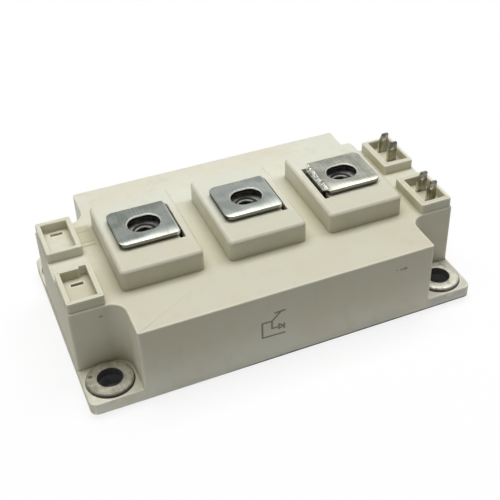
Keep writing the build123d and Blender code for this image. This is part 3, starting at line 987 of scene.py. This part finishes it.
@dataclass
class MainTerminals:
    """The three folded terminals."""

    pitch: float = 28 * MM
    sides: tuple[Side, ...] = (Side.RIGHT, Side.RIGHT, Side.LEFT)
    # Bright and dull nickel colours per terminal, with painted light: the second and third are lighter.
    nickel_and_light_tones: tuple[tuple[Colour, Colour], ...] = (
        (tone(212, 218, 210), tone(150, 158, 150)),
        (tone(221, 228, 220), tone(166, 174, 165)),
        (tone(224, 224, 210), tone(164, 166, 154)),
    )

    def build(self) -> None:
        """Give each terminal its own nickel finish, whose colours carry painted light: the second and third
        terminals are lighter.
        """
        for number, side in enumerate(self.sides, start=1):
            finish = BrushedNickel((number - 2) * self.pitch, side, *self.nickel_and_light_tones[number - 1])
            dress(["main_terminal_%d" % number], finish.material())
            LOG.info("main terminal %d dressed", number)


@dataclass
class ThreadedNuts:
    """The three captive nuts, with real threads in their bores."""

    pitch: float = 28 * MM
    bottom: float = 22.8 * MM
    bore: float = 2.5 * MM
    thread_pitch: float = 1.0 * MM
    thread_size: float = 0.42 * MM
    turns: int = 5
    steps: int = 28
    smooth_deg: float = 30

    def build(self) -> None:
        """Cut a thread into one nut and copy it to the other two places."""
        nut = merged_copy("nut_terminal_1", "threaded_nut_1")
        combine(nut, self._groove(), Joining.TAKE_AWAY)
        self._clean(nut)
        bpy.ops.object.shade_smooth_by_angle(angle=math.radians(self.smooth_deg))
        nut.data.materials.append(NutSteel((-self.pitch, 0.0, self.pitch)).material())
        for number in (1, 2, 3):
            made = nut if number == 1 else self._shifted(nut, number)
            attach(made, "root")
            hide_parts("nut_terminal_%d" % number)
            LOG.info("nut %d threaded", number)

    def _clean(self, nut: bpy.types.Object) -> None:
        """Split the cut faces into triangles and drop those without area."""
        pick(nut)
        bpy.ops.object.mode_set(mode="EDIT")
        bpy.ops.mesh.select_all(action="SELECT")
        bpy.ops.mesh.remove_doubles(threshold=0.002 * MM)
        bpy.ops.mesh.quads_convert_to_tris()
        bpy.ops.mesh.dissolve_degenerate(threshold=0.002 * MM)
        bpy.ops.object.mode_set(mode="OBJECT")

    def _groove(self) -> bpy.types.Object:
        """Return a helical rod with a three-sided section, as the shape of the thread's groove."""
        start = self.bottom - 0.6 * self.thread_pitch
        bpy.ops.object.select_all(action="DESELECT")
        upright = (math.pi / 2, math.pi / 2, 0)
        bpy.ops.mesh.primitive_circle_add(vertices=3, radius=self.thread_size, rotation=upright,
                                          location=(-self.pitch, 0, start))
        groove = bpy.context.object
        bpy.ops.object.transform_apply(location=False, rotation=True, scale=False)
        bpy.ops.object.mode_set(mode="EDIT")
        bpy.ops.mesh.select_all(action="SELECT")
        bpy.ops.transform.translate(value=(self.bore + 0.3 * self.thread_size, 0, 0))
        bpy.ops.object.mode_set(mode="OBJECT")
        bpy.ops.object.modifier_add(type="SCREW")
        modifier = groove.modifiers[-1]
        modifier.steps = modifier.render_steps = self.steps
        modifier.screw_offset = self.thread_pitch
        modifier.iterations = self.turns
        bpy.ops.object.modifier_apply(modifier=modifier.name)
        bpy.ops.object.mode_set(mode="EDIT")
        bpy.ops.mesh.select_all(action="SELECT")
        bpy.ops.mesh.fill_holes(sides=3)
        bpy.ops.mesh.normals_make_consistent(inside=False)
        bpy.ops.object.mode_set(mode="OBJECT")
        return groove

    def _shifted(self, nut: bpy.types.Object, number: int) -> bpy.types.Object:
        """Copy the nut to another terminal.

        Args:
            nut: The nut of the first terminal.
            number: Number of the other terminal.

        Returns:
            The copy, with its own mesh.
        """
        pick(nut)
        bpy.ops.object.duplicate(linked=False)
        made = bpy.context.object
        made.name = "threaded_nut_%d" % number
        bpy.ops.transform.translate(value=((number - 1) * self.pitch, 0, 0))
        bpy.ops.object.transform_apply(location=True, rotation=False, scale=False)
        return made


@dataclass
class ScrewPlaces:
    """The four bushings and the base plate below them."""

    half_x: float = 46.5 * MM
    half_y: float = 24.0 * MM
    nickel: PlainMetal = PlainMetal("base_nickel", tone(168, 168, 170), tone(134, 134, 136), 0.45, 0.4)

    def build(self) -> None:
        """Give the bushings worn steel and the base plate satin nickel."""
        centres = tuple((sx * self.half_x, sy * self.half_y) for sx in (-1, 1) for sy in (-1, 1))
        names = ["bushing_%s_%s" % (row, end) for row in ("front", "rear") for end in ("left", "right")]
        dress(names, WornSteel("bushing_steel", centres).material())
        dress(["base_plate"], self.nickel.material())
        LOG.info("bushings and base plate dressed")


@dataclass
class ControlTabs:
    """The four flat control tabs."""

    names: tuple[str, ...] = ("gate_tab_upper", "emitter_tab_upper", "emitter_tab_lower", "gate_tab_lower")

    def build(self) -> None:
        """Give the tabs a dull tinned finish."""
        dress(list(self.names), TinnedBlade().material())
        LOG.info("control tabs dressed")


@dataclass
class InnerCircuit:
    """Substrates, chips, ribbons and gel, closed in by the housing."""

    sides: tuple[str, ...] = ("upper", "lower")
    layers: tuple[tuple[tuple[str, ...], PlainMetal | MattLayer], ...] = (
        (("solder",), PlainMetal("dull_solder", tone(160, 160, 164), tone(118, 118, 122), 0.45)),
        (("back_copper", "track_copper"),
         PlainMetal("bare_copper", tone(206, 132, 98), tone(160, 92, 66), 0.35)),
        (("ceramic",), MattLayer("white_ceramic", tone(236, 236, 230), tone(222, 222, 214))),
        (("transistor_chips",), PlainMetal("chip_face", tone(112, 116, 126), tone(78, 82, 92), 0.2)),
        (("diode_chips",), PlainMetal("diode_face", tone(122, 122, 126), tone(88, 88, 92), 0.2)),
        (("bond_ribbons",), PlainMetal("soft_aluminium", tone(214, 214, 214), tone(176, 176, 176), 0.3)),
    )
    gel: MattLayer = MattLayer("clear_gel", tone(222, 228, 232), tone(212, 218, 224), 0.1, 0.35)

    def build(self) -> None:
        """Give each inner layer its own finish."""
        for names, finish in self.layers:
            dress(["%s_%s" % (name, side) for name in names for side in self.sides], finish.material())
        dress(["silicone_gel"], self.gel.material())
        LOG.info("inner circuit dressed")


@dataclass(frozen=True)
class Lamp:
    """A soft rectangular lamp."""

    name: str
    place: Point
    aim: Point
    size: Pair
    power: float

    def build(self) -> None:
        """Hang the lamp, with the first side of its size level."""
        data = bpy.data.lights.new(self.name, "AREA")
        data.shape = "RECTANGLE"
        data.size, data.size_y = self.size
        data.energy = self.power
        lamp = bpy.data.objects.new(self.name, data)
        bpy.context.scene.collection.objects.link(lamp)
        lamp.location = self.place
        lamp.rotation_mode = "QUATERNION"
        lamp.rotation_quaternion = (Vector(self.aim) - Vector(self.place)).to_track_quat("-Z", "Y")


@dataclass
class Studio:
    """Plain pale floor, soft lamps and the camera of the picture."""

    azimuth_deg: float = -24.314
    elevation_deg: float = 36.904
    roll_deg: float = -0.155
    camera_distance: float = 264.762 * MM
    clip_start: float = 10 * MM
    target: Point = (14.443 * MM, 2.667 * MM, 15.0 * MM)
    focal_px: float = 946.742
    centre_px: Pair = (292.179, 223.392)
    frame_px: float = 500.0
    floor_size: float = 6.0
    # Painted light: the floor is lighter near the module, to throw more light onto its lower walls.
    floor_bounce_greys: Pair = (0.88, 0.4)
    grey_gap: Pair = (2 * MM, 45 * MM)
    # Painted shadow under the module's footprint.
    footprint_shadow_grey: float = 0.15
    footprint: Pair = (50.5 * MM, 28.8 * MM)
    footprint_fade: float = 1 * MM
    glow_near: float = 0.85
    glow_from: Pair = (120 * MM, 500 * MM)
    sky: float = 0.18
    lamps: tuple[Lamp, ...] = (
        Lamp("overhead", (0.1, 0.16, 0.92), (0.1, 0.0, 0.0), (1.0, 0.5), 8.3),
        Lamp("left_fill", (-0.9, -0.1, 0.35), (0.0, 0.0, 0.01), (0.5, 0.5), 0.65),
        Lamp("right_card", (0.64, 0.7, 0.62), (0.0, 0.0, 0.02), (0.55, 0.55), 0.385),
    )

    def build(self) -> None:
        """Make the floor, the surroundings, the lamps and the camera."""
        self._floor()
        self._world()
        for lamp in self.lamps:
            lamp.build()
        self._camera()
        LOG.info("studio built")

    def _floor(self) -> None:
        """Make the floor, white to the camera and grey to the object, with the object's shadow on it, a
        painted shadow under the module's footprint and a painted lighter grey near the module that throws
        more light onto its lower walls.
        """
        bpy.ops.mesh.primitive_plane_add(size=self.floor_size, location=(0, 0, 0))
        floor = bpy.context.object
        floor.name = "floor"
        sheet = Sheet("floor_paper")
        x, y, _ = sheet.place()
        half_x, half_y = self.footprint
        # Painted shadow under the footprint, and the floor lighter near the module.
        footprint_shadow = x.near(0.0, half_x, self.footprint_fade) * y.near(0.0, half_y, self.footprint_fade)
        gap = (abs(x) - half_x).most(abs(y) - half_y) - self.footprint_fade
        near, far, under = ((level,) * 3 + (1.0,) for level in (*self.floor_bounce_greys, self.footprint_shadow_grey))
        grey = sheet.blend(footprint_shadow, sheet.blend(gap.ease(*self.grey_gap), near, far), under)
        sheet.finish(base_color=grey, roughness=0.9)
        path = sheet.node("ShaderNodeLightPath")
        seen = most_of(Level(sheet, path.outputs[name]) for name in ("Is Camera Ray", "Is Glossy Ray"))
        paper = sheet.node("ShaderNodeBsdfDiffuse", {}, {"Color": WHITE})
        glow = sheet.node("ShaderNodeEmission", {}, {"Color": WHITE, "Strength": 1.0})
        pure = distance(x, y).ease(*self.glow_from) * (1 - self.glow_near) + self.glow_near
        white = sheet.node("ShaderNodeMixShader", {}, {0: pure, 1: paper.outputs[0], 2: glow.outputs[0]})
        shaders = {0: seen * (1 - footprint_shadow), 1: sheet.shader.outputs[0], 2: white.outputs[0]}
        both = sheet.node("ShaderNodeMixShader", {}, shaders)
        sheet.tree.links.new(both.outputs[0], sheet.output.inputs["Surface"])
        floor.data.materials.append(sheet.material)

    def _world(self) -> None:
        """Make the surroundings, white to the camera and dim for the object."""
        world = bpy.data.worlds.new("studio")
        bpy.context.scene.world = world
        world.use_nodes = True
        nodes = Nodes(world.node_tree)
        seen = nodes.node("ShaderNodeLightPath").outputs["Is Camera Ray"]
        dim = nodes.node("ShaderNodeBackground", {}, {"Color": WHITE, "Strength": self.sky})
        white = nodes.node("ShaderNodeBackground", {}, {"Color": WHITE, "Strength": 1.0})
        mix = nodes.node("ShaderNodeMixShader", {}, {0: seen, 1: dim.outputs[0], 2: white.outputs[0]})
        nodes.node("ShaderNodeOutputWorld", {}, {"Surface": mix.outputs[0]})

    def _camera(self) -> None:
        """Place the camera as the picture was taken."""
        azimuth, elevation, roll = map(math.radians, (self.azimuth_deg, self.elevation_deg, self.roll_deg))
        level = math.cos(elevation)
        ahead = -Vector((math.sin(azimuth) * level, -math.cos(azimuth) * level, math.sin(elevation)))
        level_right = ahead.cross(Vector((0, 0, 1))).normalized()
        level_up = level_right.cross(ahead)
        right = math.cos(roll) * level_right + math.sin(roll) * level_up
        upward = -math.sin(roll) * level_right + math.cos(roll) * level_up
        turn = Matrix((right, upward, -ahead)).transposed().to_4x4()
        data = bpy.data.cameras.new("picture_camera")
        data.lens = self.focal_px / self.frame_px * data.sensor_width
        data.shift_x = (self.frame_px / 2 - self.centre_px[0]) / self.frame_px
        data.shift_y = (self.centre_px[1] - self.frame_px / 2) / self.frame_px
        data.clip_start = self.clip_start
        camera = bpy.data.objects.new("picture_camera", data)
        bpy.context.scene.collection.objects.link(camera)
        camera.matrix_world = Matrix.Translation(Vector(self.target) - ahead * self.camera_distance) @ turn
        bpy.context.scene.camera = camera


def main() -> None:
    """Build and dress the module, then the studio."""
    logging.basicConfig(level=logging.INFO)
    bpy.context.scene.view_settings.view_transform = "Standard"
    bpy.ops.object.select_all(action="DESELECT")
    for part in (Moulding(), MainTerminals(), ThreadedNuts(), ScrewPlaces(), ControlTabs(), InnerCircuit()):
        part.build()
    Studio().build()


if __name__ == "__main__":
    main()
